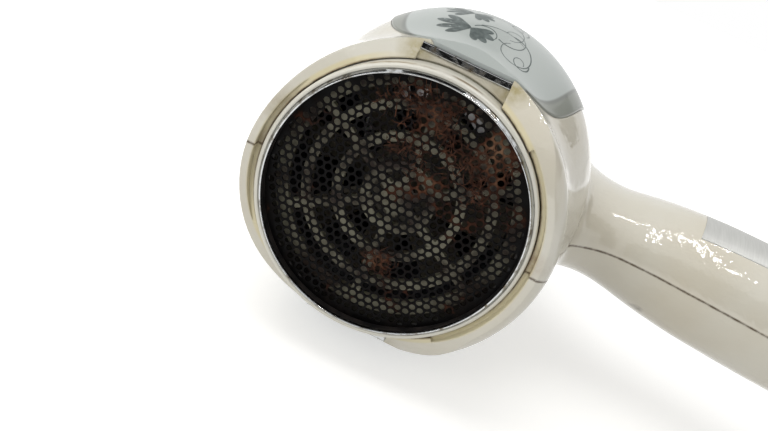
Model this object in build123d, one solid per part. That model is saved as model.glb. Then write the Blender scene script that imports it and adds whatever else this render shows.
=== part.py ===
from build123d import *
import os
from math import cos, sin, atan2, pi, sqrt

# Hand-held hair dryer, lying on its side: +X runs down the handle, +Y along the barrel
# towards the outlet, +Z across the body. Shapes are drawn with Y = 0 at the crest of the
# intake collar and are moved at export, so that the origin is the middle of the nozzle seat.

# ---------------------------------------------------------------- driving sizes (mm)
wall = 2.6                    # moulded wall of the two housing halves
seam_gap = 0.05               # each half stops this far short of the parting plane
body_gap = 0.3                # clearance between parts that move apart
fit_gap = 0.1                 # clearance of a part seated in another

collar_radius = 40.0          # outer edge of the intake collar
collar_depth = 16.0           # solid collar before the hollow barrel starts
pocket_radius = 36.6          # bore that takes the filter cover
pocket_depth = 12.0           # collar crest to the guard's ledge
ledge_bore = 33.6             # opening inside the ledge
gutter_radius = 37.9          # outer wall of the gutter round the cover
gutter_depth = 2.8
lobe_angle = 50.0             # half angle of each guttered lobe
top_scoop_radius = 79.0       # rear face of the upper lobe, seen along X
low_scoop_radius = 27.6       # shoulders of the lower lobe, seen along X
low_scoop_flat = 20.0

bezel_inner = 34.0            # chrome ring on the filter cover
bezel_outer = 35.1
cover_height = 8.2            # depth of the filter cover's skirt
cover_wall = 1.7
cover_lip = 1.0               # the skirt starts this far behind the crest
mesh_depth = 3.4              # crest to the front of the filter mesh
mesh_thickness = 0.5
mesh_pitch = 2.25
mesh_hole_radius = 0.875
retainer_bore = 33.0          # black ring that clamps the mesh

guard_rings = (8.75, 16.5, 24.8)
guard_ring_width = 2.6
guard_hub_radius = 4.6
guard_thickness = 2.2
guard_spoke_width = 2.4
guard_flange_bore = 29.7
spoke_count = 6

notch_low, notch_high = -10.5, 13.3   # finger notch, measured down the handle
notch_floor = 9.4             # depth of the notch behind the crest
trim_inner, trim_outer = 37.7, 39.7   # chrome strip, distance from the barrel axis
trim_thickness = 1.6
trim_proud = 0.6              # the strip stands this far out of the notch floor
flat_slope = 0.42             # rise of the flattened flank behind the strip

panel_centre = (6.9, 46.0)    # oval side panel, seen along Z
panel_half_width = 28.5
panel_half_length = 38.0
panel_fullness = 2.5          # exponent of the oval, 2 is an ellipse
panel_lean = 10.5             # degrees
panel_depth = 1.5             # sunk into the housing
panel_proud = 0.4

barrel_length = 138.0         # crest to the front edge of the housing
seat_radius = 24.7            # nozzle seat at the outlet
seat_length = 10.0
outlet_flange_radius = 27.4
outlet_flange_width = 2.0
outlet_bore = seat_radius - 2.3
grille_thickness = 1.8

# barrel stations: y, half width, x of the widest line, reach of the skin towards -X and +X
barrel_stations = [
    (0.0, 40.0, 0.0, 40.0, 40.0),
    (10.0, 41.6, 1.6, 39.6, 42.8),
    (21.0, 44.2, 3.2, 38.9, 45.2),
    (35.0, 48.2, 4.8, 38.2, 49.2),
    (52.0, 47.2, 5.0, 38.0, 50.0),
    (78.0, 40.5, 3.2, 35.5, 42.5),
    (108.0, 31.5, 1.0, 30.5, 32.5),
    (barrel_length, 27.2, 0.0, 27.2, 27.2),
]
handle_end = 190.0            # lower end of the handle
# handle stations: x, centre along Y, half depth along Y, half width
handle_stations = [
    (24.0, 77.0, 50.0, 25.0),
    (38.0, 75.5, 45.0, 20.5),
    (46.0, 72.5, 38.5, 17.2),
    (53.0, 68.6, 29.5, 15.2),
    (60.0, 65.6, 21.4, 14.8),
    (68.0, 65.2, 19.6, 15.9),
    (80.0, 63.6, 18.6, 18.0),
    (96.0, 61.0, 18.6, 19.6),
    (120.0, 57.2, 19.2, 20.2),
    (155.0, 51.6, 19.2, 19.6),
    (handle_end, 46.0, 18.0, 18.2),
]
end_cap_length = 9.0
junction_fillet = 6.0         # between barrel and handle
barrel_step, handle_step = 11.5, 8.0  # spacing of the outlines that the skins run through

fan_tip_radius = 31.0
fan_hub_radius = 12.0
fan_start, fan_length = 20.0, 11.0
fan_blades = 8
duct_radius = 33.5            # outside of the fan duct
duct_wall = 1.5
duct_end, cone_end = 58.0, 71.0
motor_radius = 14.0
motor_start, motor_end = 34.0, 70.0
motor_wall = 1.0
shaft_radius = 1.15
bush_clearance = 0.02         # running clearance of the shaft in its bushes
damper_thickness = 1.6
vane_count = 9

sleeve_radius = 23.4          # mica tube round the heater
sleeve_wall = 0.4
sleeve_start, sleeve_end = 73.0, barrel_length + 0.6
mica_thickness = 0.8
board_start, board_end = 78.0, barrel_length - 1.5
coil_count = 8
coil_radius = 21.8
coil_wire = 0.5

switch_x = 112.0              # middle of the switch plate, down the handle
switch_plate_length, switch_plate_width = 56.0, 13.0
switch_plate_thickness = 2.0
knob_length, knob_width, knob_height = 13.0, 8.6, 3.6
knob_travel = 10.0
button_radius, button_travel = 4.6, 2.0
screw_places = ((74.0, 66.0), (handle_end - 22.0, 49.5))
boss_radius, screw_radius, screw_head_radius = 3.6, 1.25, 2.7
screw_seat, screw_head, screw_reach = 8.0, 1.8, 7.0
gland_bore = 3.6              # takes the mains lead
gland_radius, gland_flange = gland_bore + 2.0, gland_bore + 3.8

origin_y = barrel_length + outlet_flange_width + seat_length / 2
far = 300.0                   # beyond the whole dryer, for cutting blocks
clear = 5.0                   # cuts from the rear start this far in front of the crest
NODES = {}


# ---------------------------------------------------------------- helpers
def add(name, shape):
    """Keep one named node, moved so that the origin is the middle of the nozzle seat."""
    NODES[name] = shape.moved(Location((0, -origin_y, 0)))


def turned(points, start=0.0, arc=360.0):
    """Solid of revolution about the barrel axis; points are (radius, y)."""
    outline = make_face(Polyline(*[(r, y) for r, y in points], close=True))
    return revolve(Rot(0, start, 0) * outline, Axis.Y, arc)


def ring(outer, inner, y0, y1):
    """Plain ring or disc about the barrel axis."""
    return turned([(inner, y0), (outer, y0), (outer, y1), (inner, y1)])


def block(x0, x1, y0, y1, z0, z1):
    """Box between two corners."""
    return Pos((x0 + x1) / 2, (y0 + y1) / 2, (z0 + z1) / 2) * Box(x1 - x0, y1 - y0, z1 - z0)


def both_sides(shape):
    """The shape and its mirror image across the parting plane."""
    return shape + mirror(shape, Plane.XY)


def egg_wire(plane, low, high, half_width):
    """Closed outline with two different reaches along the plane's first axis."""
    count = 24
    points = []
    for i in range(count):
        angle = 2 * pi * i / count
        reach = high if cos(angle) > 0 else low
        points.append((reach * cos(angle), half_width * sin(angle)))
    return Wire([plane * Spline(*points, periodic=True)])


def blend_rows(rows, step):
    """Rows of measures at even spacing, eased between the given ones without overshoot."""
    def slope(i, k):
        if i in (0, len(rows) - 1):
            return 0.0
        before = (rows[i][k] - rows[i - 1][k]) / (rows[i][0] - rows[i - 1][0])
        after = (rows[i + 1][k] - rows[i][k]) / (rows[i + 1][0] - rows[i][0])
        return 0.0 if before * after <= 0 else 2 * before * after / (before + after)

    first, last = rows[0][0], rows[-1][0]
    count = max(2, round((last - first) / step))
    result = []
    for n in range(count + 1):
        at = first + (last - first) * n / count
        i = max(j for j in range(len(rows) - 1) if rows[j][0] <= at + 1e-9)
        width = rows[i + 1][0] - rows[i][0]
        t = (at - rows[i][0]) / width
        row = [at]
        for k in range(1, len(rows[0])):
            row.append((1 + 2 * t) * (1 - t) ** 2 * rows[i][k] + t * (1 - t) ** 2 * width * slope(i, k)
                       + t * t * (3 - 2 * t) * rows[i + 1][k] + t * t * (t - 1) * width * slope(i + 1, k))
        result.append(row)
    return result


def barrel_solid(grow=0.0):
    """Barrel skin, every half axis longer by grow."""
    wires = []
    for y, half, centre, low, high in blend_rows(barrel_stations, barrel_step):
        plane = Plane(origin=(centre, y, 0), x_dir=(1, 0, 0), z_dir=(0, -1, 0))
        wires.append(egg_wire(plane, low + centre + grow, high - centre + grow, half + grow))
    return Solid.make_loft(wires)


def handle_solid(grow=0.0):
    """Handle skin from inside the barrel to its lower end."""
    wires = []
    for x, centre, depth, half in blend_rows(handle_stations, handle_step):
        plane = Plane(origin=(x, centre, 0), x_dir=(0, 1, 0), z_dir=(1, 0, 0))
        wires.append(egg_wire(plane, depth + grow, depth + grow, half + grow))
    return Solid.make_loft(wires)


# ---------------------------------------------------------------- housing
def flank_wedge(shift=0.0):
    """What the flattened flank behind the chrome strip removes from the barrel's bulge."""
    rise_start, rise_end = -2.0, barrel_stations[3][0] - 1.0
    low = trim_outer + shift + flat_slope * (rise_start - notch_floor)
    high = trim_outer + shift + flat_slope * (rise_end - notch_floor)
    side = 2 * collar_radius
    outline = Plane.YZ * make_face(Polyline((rise_start, low), (rise_end, high), (rise_end, side),
                                            (rise_start, side), close=True))
    return both_sides(Pos(-side, 0, 0) * extrude(outline, 2 * side))


def flank(grow=0.0):
    """Barrel skin with its flattened flanks."""
    return barrel_solid(grow) - flank_wedge(grow)


def scoop(flat, radius, x0, x1):
    """What the rounded rear face of a collar lobe removes, flat in the middle."""
    reach = collar_radius + 6.0
    drop = radius - sqrt(radius ** 2 - (reach - flat) ** 2)
    mid = (reach - flat) / 2
    mid_drop = radius - sqrt(radius ** 2 - mid ** 2)
    with BuildPart() as cutter:
        with BuildSketch(Plane.YZ):
            with BuildLine():
                ThreePointArc((drop, reach), (mid_drop, flat + mid), (0, flat))
                if flat > 0:
                    Line((0, flat), (0, -flat))
                ThreePointArc((0, -flat), (mid_drop, -flat - mid), (drop, -reach))
                Polyline((drop, -reach), (-clear, -reach), (-clear, reach), (drop, reach))
            make_face()
        extrude(amount=x1 - x0)
    return Pos(x0, 0, 0) * cutter.part


def handle_skin():
    """Outer skin of barrel and handle with the fillet between them."""
    body = barrel_solid().fuse(handle_solid())
    joint_edges = [e for e in body.edges()
                   if e.bounding_box().min.X > handle_stations[0][0] and e.bounding_box().max.X < barrel_stations[4][4] + 16
                   and e.bounding_box().max.Y > collar_depth
                   and e.bounding_box().max.Z - e.bounding_box().min.Z > 1.0]
    return body.fillet(junction_fillet, joint_edges) - flank_wedge()


front_row = next(r for r in blend_rows(handle_stations, 1.0) if r[0] >= switch_x)
front_y = front_row[1] + front_row[2]
next_row = next(r for r in blend_rows(handle_stations, 1.0) if r[0] >= switch_x + 20)
front_lean = atan2(front_y - next_row[1] - next_row[2], 20.0)
switch_plane = Plane(origin=(switch_x, front_y, 0), x_dir=(cos(front_lean), -sin(front_lean), 0),
                     z_dir=(sin(front_lean), cos(front_lean), 0))
plate_top = -0.9              # the plate sits below the crown of the handle
plate_bottom = plate_top - switch_plate_thickness


clamp_x = handle_end - 13.0     # cord clamp, down the handle
clamp_reach, clamp_seat, clamp_thickness, clamp_post = 8.0, -seam_gap, 3.0, 2.8
clamp_row = next(r for r in blend_rows(handle_stations, 1.0) if r[0] >= clamp_x)
clamp_y = clamp_row[1]


def panel_prism(gap=0.0):
    """Oval outline of a side panel, run through the body along +Z, with its straight rear end."""
    points = []
    count = 24
    for i in range(count):
        across, along = cos(2 * pi * i / count), sin(2 * pi * i / count)
        size = (abs(across) ** panel_fullness + abs(along) ** panel_fullness) ** (-1 / panel_fullness)
        points.append(((panel_half_width + gap) * across * size, (panel_half_length + gap) * along * size))
    oval = Rot(0, 0, -panel_lean) * make_face(Spline(*points, periodic=True))
    body = extrude(Pos(panel_centre[0], panel_centre[1], barrel_stations[0][1] / 2) * oval, far)
    rear = notch_floor - trim_proud + trim_thickness + fit_gap - gap
    return body - block(-far, far, -far, rear, 0, 2 * far)


def make_housing():
    """Both halves as one hollow body with every opening cut."""
    inner = barrel_solid(-wall) - block(-far, far, -clear, collar_depth, -far, far)
    hollow = inner.fuse(handle_solid(-wall))
    body = handle_skin() - hollow
    rib = ring(2 * collar_radius, duct_radius + fit_gap, duct_end + 1.0, duct_end + 3.0) & barrel_solid(-0.5)
    bosses = Compound([Pos(x, y, 0) * Cylinder(boss_radius, far) for x, y in screw_places])
    body = body + rib + (bosses & handle_solid(-0.5))
    body -= ring(pocket_radius, 0, -clear, pocket_depth)
    body -= ring(ledge_bore, 0, pocket_depth, collar_depth + 1)
    body -= scoop(0.0, top_scoop_radius, -far, 0.0)
    body -= scoop(low_scoop_flat, low_scoop_radius, 0.0, far)
    groove = [(pocket_radius - 0.5, -clear), (gutter_radius, -clear), (gutter_radius, gutter_depth),
              (pocket_radius - 0.5, gutter_depth)]
    for middle in (0, 180):
        body -= turned(groove, middle - lobe_angle, 2 * lobe_angle)
    body -= both_sides(block(notch_low, notch_high, -clear, notch_floor, ledge_bore - wall, far))
    body -= both_sides(block(notch_low, notch_high, -clear, notch_floor - trim_proud + trim_thickness,
                             trim_inner - fit_gap, far))
    body -= both_sides(panel_prism(fit_gap) - flank(-panel_depth))
    body -= switch_plane * (Pos(0, 0, -2) * Box(switch_plate_length + 2 * fit_gap,
                                                switch_plate_width + 2 * fit_gap, 14))
    for side in (-1, 1):
        post = Pos(clamp_x, clamp_y + side * clamp_reach, clamp_seat - far / 2) * Cylinder(clamp_post, far)
        body = body + (post & handle_solid(-0.5))
        body -= Pos(clamp_x, clamp_y + side * clamp_reach, 0) * Cylinder(screw_radius + fit_gap, 12)
    for x, y in screw_places:
        body -= Pos(x, y, screw_reach + 0.5 - far / 2) * Cylinder(screw_radius + fit_gap, far)
        body -= Pos(x, y, -screw_seat - far / 2) * Cylinder(screw_head_radius + 2 * fit_gap, far)
    return body


housing = make_housing()
below = block(-far, far, -far, far, -far, -seam_gap)
add("housing_left", housing & below)
add("housing_right", housing & mirror(below, Plane.XY))

screws = []
for x, y in screw_places:
    screws.append(Pos(x, y, -screw_seat - screw_head / 2) * Cylinder(screw_head_radius, screw_head)
                  + Pos(x, y, (screw_reach - screw_seat) / 2) * Cylinder(screw_radius, screw_reach + screw_seat)
                  - Pos(x, y, -screw_seat - screw_head) * Box(0.8, 4.0, 1.6))
add("housing_screws", Compound(screws))


# ---------------------------------------------------------------- side panels and their strips
def side_panel():
    """Glossy oval insert of one flank."""
    return (panel_prism() & flank(panel_proud)) - flank(-panel_depth)


def side_trim():
    """Straight chrome strip at the rear end of the panel, the outer wall of the finger notch."""
    rear = notch_floor - trim_proud
    bar = block(notch_low + fit_gap, notch_high - fit_gap, rear, rear + trim_thickness,
                trim_inner, trim_outer)
    return fillet(bar.edges().filter_by(Axis.X).group_by(Axis.Y)[0], 0.4)


panel, trim = side_panel(), side_trim()
add("side_panel_right", panel)
add("side_panel_left", mirror(panel, Plane.XY))
add("side_trim_right", trim)
add("side_trim_left", mirror(trim, Plane.XY))

label_start, label_length, label_width = 85.2, 40.0, 12.0
label_row = next(r for r in blend_rows(handle_stations, 1.0) if r[0] >= label_start + label_length / 2)
label_y = label_row[1] - 5.1
label_band = handle_solid(0.2) - handle_solid()
label_place = Pos(label_row[0], label_y, 0) * (Rot(0, 0, -front_lean * 180 / pi) * Box(label_length, label_width, far))
add("rating_plate", label_band & label_place & block(-far, far, -far, far, 0, far))

# ---------------------------------------------------------------- filter cover, pulled off to clean it
cover_radius = pocket_radius - body_gap
cover_end = cover_lip + cover_height
skirt_bore = cover_radius - cover_wall
bezel_foot, bezel_front, bezel_wall = 2.7, 1.2, 0.6
add("filter_cover", turned([(bezel_outer, cover_lip), (cover_radius - 0.5, cover_lip),
                            (cover_radius, cover_lip + 0.8), (cover_radius, cover_end),
                            (skirt_bore, cover_end), (skirt_bore, bezel_foot), (bezel_outer, bezel_foot)]))
add("chrome_bezel", turned([(bezel_inner, 0.1), (bezel_inner + 0.15, 0), (bezel_inner + 0.4, 0.05),
                            (bezel_outer, 1.3), (bezel_outer, bezel_foot),
                            (bezel_inner + bezel_wall, bezel_foot), (bezel_inner + bezel_wall, bezel_front),
                            (bezel_inner, bezel_front)]))
add("mesh_seat", ring(bezel_inner + bezel_wall, bezel_inner, bezel_front, mesh_depth))
add("mesh_retainer", ring(skirt_bore, retainer_bore, mesh_depth + mesh_thickness, cover_end))


def filter_mesh():
    """Thin disc pierced by round holes in staggered rows, one row direction along X."""
    disc_radius = skirt_bore - fit_gap
    reach = bezel_inner - mesh_hole_radius - fit_gap
    plane = Plane(origin=(0, mesh_depth, 0), x_dir=(1, 0, 0), z_dir=(0, -1, 0))
    row_step = mesh_pitch * sqrt(3) / 2
    holes = []
    rows = int(reach / row_step) + 1
    for row in range(-rows, rows + 1):
        shift = mesh_pitch / 2 if row % 2 else 0.0
        for n in range(-rows - 2, rows + 3):
            u, v = n * mesh_pitch + shift, row * row_step
            if u * u + v * v < reach * reach:
                centre = plane.from_local_coords((u, v, 0))
                holes.append(Wire.make_circle(mesh_hole_radius, Plane(centre, plane.x_dir, plane.z_dir)))
    face = Face(Wire.make_circle(disc_radius, plane), holes)
    return Solid.extrude(face, Vector(0, mesh_thickness, 0))


add("filter_mesh", filter_mesh())

# ---------------------------------------------------------------- intake guard
guard_front = pocket_depth - guard_thickness


def intake_guard():
    """Web of rings and spokes behind the filter, seated on the ledge."""
    body = ring(pocket_radius - fit_gap, guard_flange_bore, guard_front, pocket_depth)
    body += ring(guard_hub_radius, 0, guard_front, pocket_depth)
    for middle in guard_rings:
        body += ring(middle + guard_ring_width / 2, middle - guard_ring_width / 2, guard_front, pocket_depth)
    half = guard_spoke_width / 2
    spoke = block(0, guard_flange_bore + 1, guard_front, pocket_depth, -half, half)
    for n in range(spoke_count):
        body += Rot(0, 360 * (n + 0.5) / spoke_count, 0) * spoke
    return body


add("intake_guard", intake_guard())

# ---------------------------------------------------------------- fan, duct and motor
motor_cup_radius = motor_radius + 0.05 + damper_thickness
hub_wall = 1.5


def fan_duct():
    """Duct, stator vanes and motor cup, moulded as one piece."""
    flange = 1.6
    sleeve_seat = sleeve_radius + fit_gap
    body = turned([(duct_radius - duct_wall, collar_depth), (duct_radius + 1.7, collar_depth),
                   (duct_radius + 1.7, collar_depth + flange), (duct_radius, collar_depth + flange),
                   (duct_radius, duct_end), (sleeve_seat + duct_wall, cone_end),
                   (sleeve_seat + duct_wall, cone_end + 5), (sleeve_seat, cone_end + 5),
                   (sleeve_seat, cone_end), (duct_radius - duct_wall, duct_end - 0.8)])
    cup_start = motor_start + 3
    body += ring(motor_cup_radius + 0.05 + hub_wall, motor_cup_radius + 0.05, cup_start, duct_end)
    middle = (motor_cup_radius + hub_wall / 2 + duct_radius - duct_wall / 2) / 2
    span = duct_radius - duct_wall / 2 - motor_cup_radius - hub_wall / 2
    vane = Pos(middle, (cup_start + duct_end) / 2, 0) * (Rot(12, 0, 0) * Box(span, duct_end - cup_start - 5, 1.4))
    for n in range(vane_count):
        body += Rot(0, 360 * n / vane_count, 0) * vane
    return body


add("fan_duct", fan_duct())
add("motor_damper", ring(motor_cup_radius, motor_radius + 0.05, motor_start + 5, duct_end - 3))


def fan_impeller():
    """Axial fan: closed nose, hub and twisted blades."""
    rim, sleeve = 1.5, 3.4
    body = turned([(shaft_radius, fan_start + 2), (shaft_radius, fan_start + fan_length),
                   (sleeve, fan_start + fan_length), (sleeve, fan_start + 2), (fan_hub_radius - rim, fan_start + 2),
                   (fan_hub_radius - rim, fan_start + fan_length), (fan_hub_radius, fan_start + fan_length),
                   (fan_hub_radius, fan_start + 2), (fan_hub_radius - 2, fan_start), (0, fan_start),
                   (0, fan_start + 2)])
    wires = []
    root = (fan_hub_radius - rim / 2 - 0.3, 12.0, 1.6, 35)
    tip = (fan_tip_radius - 0.6, 13.0, 1.1, 58)
    for radius, chord, thickness, pitch in (root, tip):
        plane = Plane(origin=(radius, fan_start + fan_length / 2, 0), x_dir=(0, 1, 0), z_dir=(1, 0, 0))
        wires.append((plane * (Rot(0, 0, pitch) * Rectangle(chord, thickness))).wire())
    blade = Solid.make_loft(wires, ruled=True)
    for n in range(fan_blades):
        body += Rot(0, 360 * n / fan_blades, 0) * blade
    return body


add("fan_impeller", fan_impeller())
shaft_end = motor_end - 1
add("motor_shaft", ring(shaft_radius, 0, fan_start + 2, shaft_end))

can_bore = motor_radius - motor_wall
bush_radius = 3.0
cap_start = motor_end - 2
add("motor_can", turned([(bush_radius, motor_start), (motor_radius, motor_start), (motor_radius, cap_start),
                         (can_bore, cap_start), (can_bore, motor_start + 1.5), (bush_radius, motor_start + 1.5)]))
cap = turned([(bush_radius, cap_start - 1.5), (bush_radius + 1.5, cap_start - 1.5), (bush_radius + 1.5, cap_start),
              (motor_radius, cap_start), (motor_radius, motor_end), (bush_radius, motor_end)])
terminal_x, terminal_radius = 8.5, 0.9
board_y = motor_end + 3
for side in (-1, 1):
    cap += turned([(0, motor_end - 0.5), (terminal_radius, motor_end - 0.5), (terminal_radius, board_y),
                   (0, board_y)]).moved(Location((side * terminal_x, 0, 0)))
add("motor_end_cap", cap)
bush_bore = shaft_radius + bush_clearance
add("motor_bushes", Compound([ring(bush_radius, bush_bore, motor_start, motor_start + 2.5),
                              ring(bush_radius, bush_bore, motor_end - 3.5, motor_end - 0.6)]))
magnet = [(can_bore - 1.9, motor_start + 6), (can_bore, motor_start + 6), (can_bore, cap_start - 6),
          (can_bore - 1.9, cap_start - 6)]
add("motor_magnets", Compound([turned(magnet, 90 - 62 + turn, 124).solid() for turn in (0, 180)]))

core_radius = can_bore - 1.9 - 0.5
core_start, core_end = motor_start + 8, cap_start - 8.5
pole_count = 5
core = ring(core_radius, shaft_radius, core_start, core_end)
for n in range(pole_count):
    slot = block(4.5, core_radius + 1, core_start - 1, core_end + 1, -1.6, 1.6)
    core -= Rot(0, 360 * n / pole_count, 0) * slot
add("armature_core", core)
add("armature_windings", Compound([ring(core_radius - 1.6, 3.6, core_start - 2.4, core_start),
                                   ring(core_radius - 1.6, 3.6, core_end, core_end + 2.4)]))
commutator_radius = 2.6
commutator_start, commutator_end = core_end + 2.4, motor_end - 3.9
add("commutator", ring(commutator_radius, shaft_radius, commutator_start, commutator_end))
brush_y = (commutator_start + cap_start - 1.7) / 2
brush = block(commutator_radius + 0.25, terminal_x + 1.0, brush_y - 1.0, cap_start - 0.05, -1.1, 1.1)
brush -= block(0, bush_radius + 2.0, brush_y + 1.2, cap_start, -2, 2)
add("motor_brushes", Compound([(Rot(0, turn, 0) * brush).solid() for turn in (0, 180)]))

# ---------------------------------------------------------------- rectifier, heater and outlet
rectifier = ring(12.5, 0, board_y, board_y + 1.4)
add("rectifier_board", rectifier)
diode = Rot(0, 90, 0) * Cylinder(1.3, 4.2)
add("rectifier_diodes", Compound([Pos(x, board_y + 1.4 + 1.3, z) * diode for x in (-5, 5) for z in (-4.5, 4.5)]))

sleeve_bore = sleeve_radius - sleeve_wall
add("heater_sleeve", ring(sleeve_radius, sleeve_bore, sleeve_start, sleeve_end))
board_half = sleeve_bore - fit_gap
coil_pitch = (board_end - board_start - 12) / (coil_count - 1)
coil_places = [board_start + 6 + n * coil_pitch for n in range(coil_count)]


def mica_board(slot_start, slot_end):
    """Mica sheet along the barrel, notched for the windings and half slotted for its partner."""
    half = mica_thickness / 2
    board = block(-board_half, board_half, board_start, board_end, -half, half)
    for y in coil_places:
        for side in (-1, 1):
            board -= Pos(side * board_half, y, 0) * Box(2 * (board_half - coil_radius + coil_wire + 0.2), 1.6, 4)
    board -= block(-half - 0.05, half + 0.05, slot_start, slot_end, -2, 2)
    return board


board_middle = (board_start + board_end) / 2
add("mica_board_a", mica_board(board_start - 1, board_middle))
add("mica_board_b", Rot(0, 90, 0) * mica_board(board_middle, board_end + 1))
coil_section = Circle(coil_wire)
add("heater_windings", Compound([revolve(Pos(coil_radius, y, 0) * coil_section, Axis.Y, 360) for y in coil_places]))
half_mica = mica_thickness / 2
thermostat = block(8, 16, board_start + 7.5, board_start + 10.5 + 4, half_mica, half_mica + 2.6)
add("thermostat", thermostat)
fuse_radius = 1.5
fuse = Rot(90, 0, 0) * Cylinder(fuse_radius, 11)
add("thermal_fuse", Pos(half_mica + fuse_radius, board_start + 12, 11) * fuse)

flange_end = barrel_length + outlet_flange_width
seat_end = flange_end + seat_length
grille_start = flange_end + 2.5
outlet_tail = barrel_stations[-1][1] - wall - body_gap
add("outlet_ring", turned([(sleeve_radius + fit_gap, barrel_length - 7), (outlet_tail, barrel_length - 7),
                           (outlet_tail, barrel_length), (outlet_flange_radius, barrel_length),
                           (outlet_flange_radius, flange_end), (seat_radius, flange_end),
                           (seat_radius, seat_end), (outlet_bore, seat_end), (outlet_bore, grille_start),
                           (outlet_bore - 1.2, grille_start), (outlet_bore - 1.2, sleeve_end + 0.4),
                           (sleeve_radius + fit_gap, sleeve_end + 0.4)]))


def outlet_grille():
    """Heat-resistant grille of rings and spokes inside the outlet."""
    end = grille_start + grille_thickness
    body = ring(outlet_bore - 0.05, outlet_bore - 1.5, grille_start, end) + ring(2.6, 0, grille_start, end)
    for middle in (7.0, 11.5, 16.0):
        body += ring(middle + 0.6, middle - 0.6, grille_start, end)
    spoke = block(0, outlet_bore - 1, grille_start, end, -0.6, 0.6)
    for n in range(8):
        body += Rot(0, 45 * n, 0) * spoke
    return body


add("outlet_grille", outlet_grille())

# ---------------------------------------------------------------- switches on the front of the handle
slot_half_width = 1.7
knob_rest = -17.0
stem_half, slot_play = 4.0, 0.4
slot_low = knob_rest - stem_half - slot_play
slot_high = knob_rest + knob_travel + stem_half + slot_play
button_x = 14.0
button_hole = button_radius + body_gap
plate = Box(switch_plate_length, switch_plate_width, switch_plate_thickness)
plate = Pos(0, 0, (plate_top + plate_bottom) / 2) * plate
plate = fillet(plate.edges().group_by(Axis.Z)[-1], 0.5)
knob_slot = block(slot_low, slot_high, -slot_half_width, slot_half_width, plate_bottom - 3.6, plate_top + 1)
plate -= knob_slot + Pos(button_x, 0, plate_bottom) * Cylinder(button_hole, 10)
add("switch_plate", switch_plane * plate)

knob_base = plate_top + body_gap
knob = Pos(knob_rest, 0, knob_base + knob_height / 2) * Box(knob_length, knob_width, knob_height)
knob = fillet(knob.edges().filter_by(Axis.Z) + knob.edges().group_by(Axis.Z)[-1], 1.0)
for n in range(-2, 3):
    knob -= Pos(knob_rest + 2.0 * n, 0, knob_base + knob_height) * Box(0.8, knob_width - 2.4, 1.0)
knob += block(knob_rest - stem_half, knob_rest + stem_half, -slot_half_width + body_gap, slot_half_width - body_gap,
              plate_bottom - 3.2, knob_base)
add("power_slider", switch_plane * knob)
switch_half = switch_plate_width / 2 - 0.5
power_box_start, power_box_end, power_box_depth = -24.0, 0.5, 11.0
power_box = block(power_box_start, power_box_end, -switch_half, switch_half, plate_bottom - power_box_depth,
                  plate_bottom)
add("power_switch", switch_plane * (power_box - knob_slot))

button_foot = plate_bottom - 2.6
button = Pos(button_x, 0, (button_foot + 1.0) / 2) * Cylinder(button_radius, 1.0 - button_foot)
button = fillet(button.edges().group_by(Axis.Z)[-1], 0.8)
button += Pos(button_x, 0, button_foot + 0.7) * Cylinder(button_radius + 1.0, 1.4)
add("cool_button", switch_plane * button)
cool_top = button_foot - button_travel - 0.4
cool_box = block(button_x - 7.4, button_x + 7.4, -switch_half, switch_half, cool_top - 7, cool_top)
for side in (-1, 1):
    post = Box(1.4, 8, plate_bottom - cool_top)
    cool_box += Pos(button_x + side * 6.7, 0, (cool_top + plate_bottom) / 2) * post
add("cool_switch", switch_plane * cool_box)

# ---------------------------------------------------------------- leads from the switch to the heater
lead_radius = 1.1
lead_start = switch_plane.from_local_coords((power_box_start, 0, plate_bottom - power_box_depth / 2))
cone_run = (cone_end - duct_end) / (duct_radius - sleeve_radius - fit_gap - duct_wall)
lead_end_y = duct_end + 8.0
lead_end_x = duct_radius - (lead_end_y - duct_end) / cone_run + 1.2
lead_bend_x, lead_bend_y = handle_stations[4][0] - 2.0, handle_stations[4][1] + 10.9
for name, z in (("heater_lead_a", -3.2), ("heater_lead_b", 3.2)):
    route = FilletPolyline((lead_start.X, lead_start.Y, z), (lead_bend_x, lead_bend_y, z),
                           (lead_end_x, lead_end_y, z), radius=24)
    start_plane = Plane(route @ 0, z_dir=route % 0)
    add(name, sweep(start_plane * Circle(lead_radius), route))

# ---------------------------------------------------------------- cord inlet at the end of the handle
end_centre, end_depth, end_half = handle_stations[-1][1:]
end_plane = Plane(origin=(handle_end, end_centre, 0), x_dir=(0, 1, 0), z_dir=(1, 0, 0))
cap_wall = 3.0
cap_body = extrude(Ellipse(end_depth, end_half), end_cap_length)
cap_body = fillet(cap_body.edges().group_by(Axis.Z)[-1], 4.0)
plug_depth, plug_gap = 4.0, 0.6   # the handle leans, so the straight plug needs room
plug_outer, plug_inner = wall + plug_gap, wall + plug_gap + 1.3
cap_body += Pos(0, 0, -plug_depth) * extrude(Ellipse(end_depth - plug_outer, end_half - plug_outer), plug_depth)
cap_body -= Pos(0, 0, -plug_depth) * extrude(Ellipse(end_depth - plug_inner, end_half - plug_inner),
                                             plug_depth + end_cap_length - cap_wall)
cap_body -= Cylinder(gland_radius, 60)
add("handle_cap", end_plane * cap_body)
cap_inside, cap_outside = end_cap_length - cap_wall, end_cap_length
gland = make_face(Polyline((gland_bore, cap_inside - 1.8), (gland_flange, cap_inside - 1.8),
                           (gland_flange, cap_inside), (gland_radius - 0.05, cap_inside),
                           (gland_radius - 0.05, cap_outside),
                           (gland_flange, cap_outside), (gland_flange - 0.8, cap_outside + 2.2),
                           (gland_bore, cap_outside + 2.2), close=True))
add("cord_gland", end_plane * revolve(Plane.XZ * gland, Axis.Z))

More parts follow.
